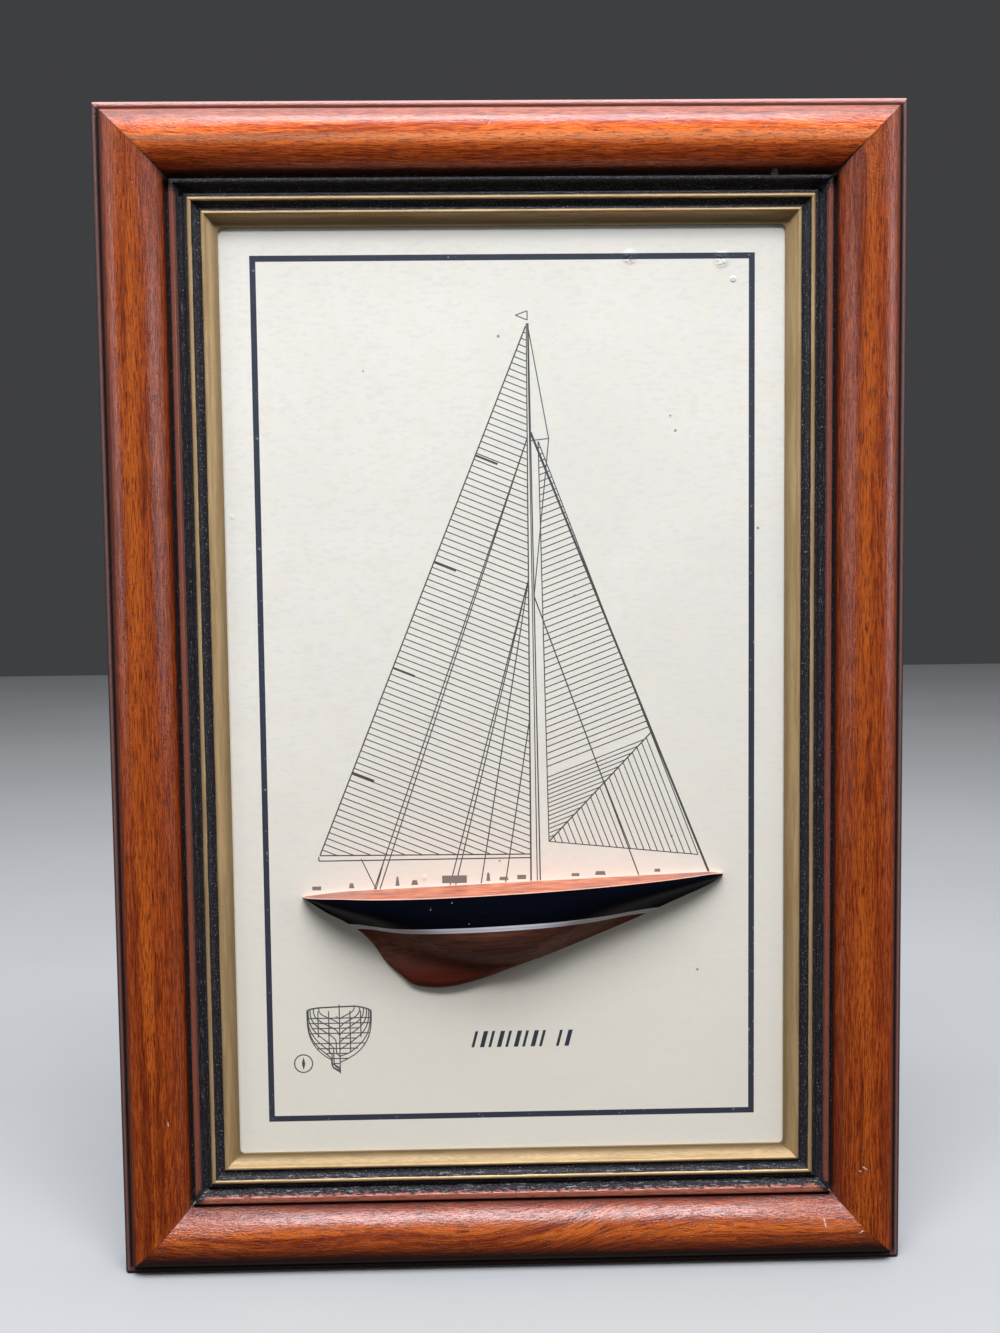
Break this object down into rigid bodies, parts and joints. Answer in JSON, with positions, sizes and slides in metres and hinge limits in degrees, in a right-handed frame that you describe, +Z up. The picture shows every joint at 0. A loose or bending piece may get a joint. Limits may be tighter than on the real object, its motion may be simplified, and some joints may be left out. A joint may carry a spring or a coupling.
{
  "type": "ship half hull model",
  "caption": "Framed half hull model of a sailing yacht, fixed to a printed board in a stained wood frame with black flutes and gilt beads, made to hang on a wall.",
  "frame": {"origin": "middle of the flat back of the top rail, where the picture is held to the wall", "axes": "+X to the right as the picture is seen, +Y into the wall, +Z up; the face looks along -Y"},
  "size_m": [0.3, 0.0266, 0.4414],
  "materials": {
    "stained_wood": "orange brown stained wood under gloss varnish, with black flutes and gilt beads",
    "pale_board": "hardboard faced with pale printed paper, matt",
    "hull_wood": "carved wood, varnished bottom and deck, gloss black topsides and a white line"
  },
  "bodies": {
    "root": {"top_rail": "stained_wood", "bottom_rail": "stained_wood", "left_rail": "stained_wood", "right_rail": "stained_wood", "printed_board": "pale_board", "half_hull": "hull_wood"}
  },
  "joints": []
}
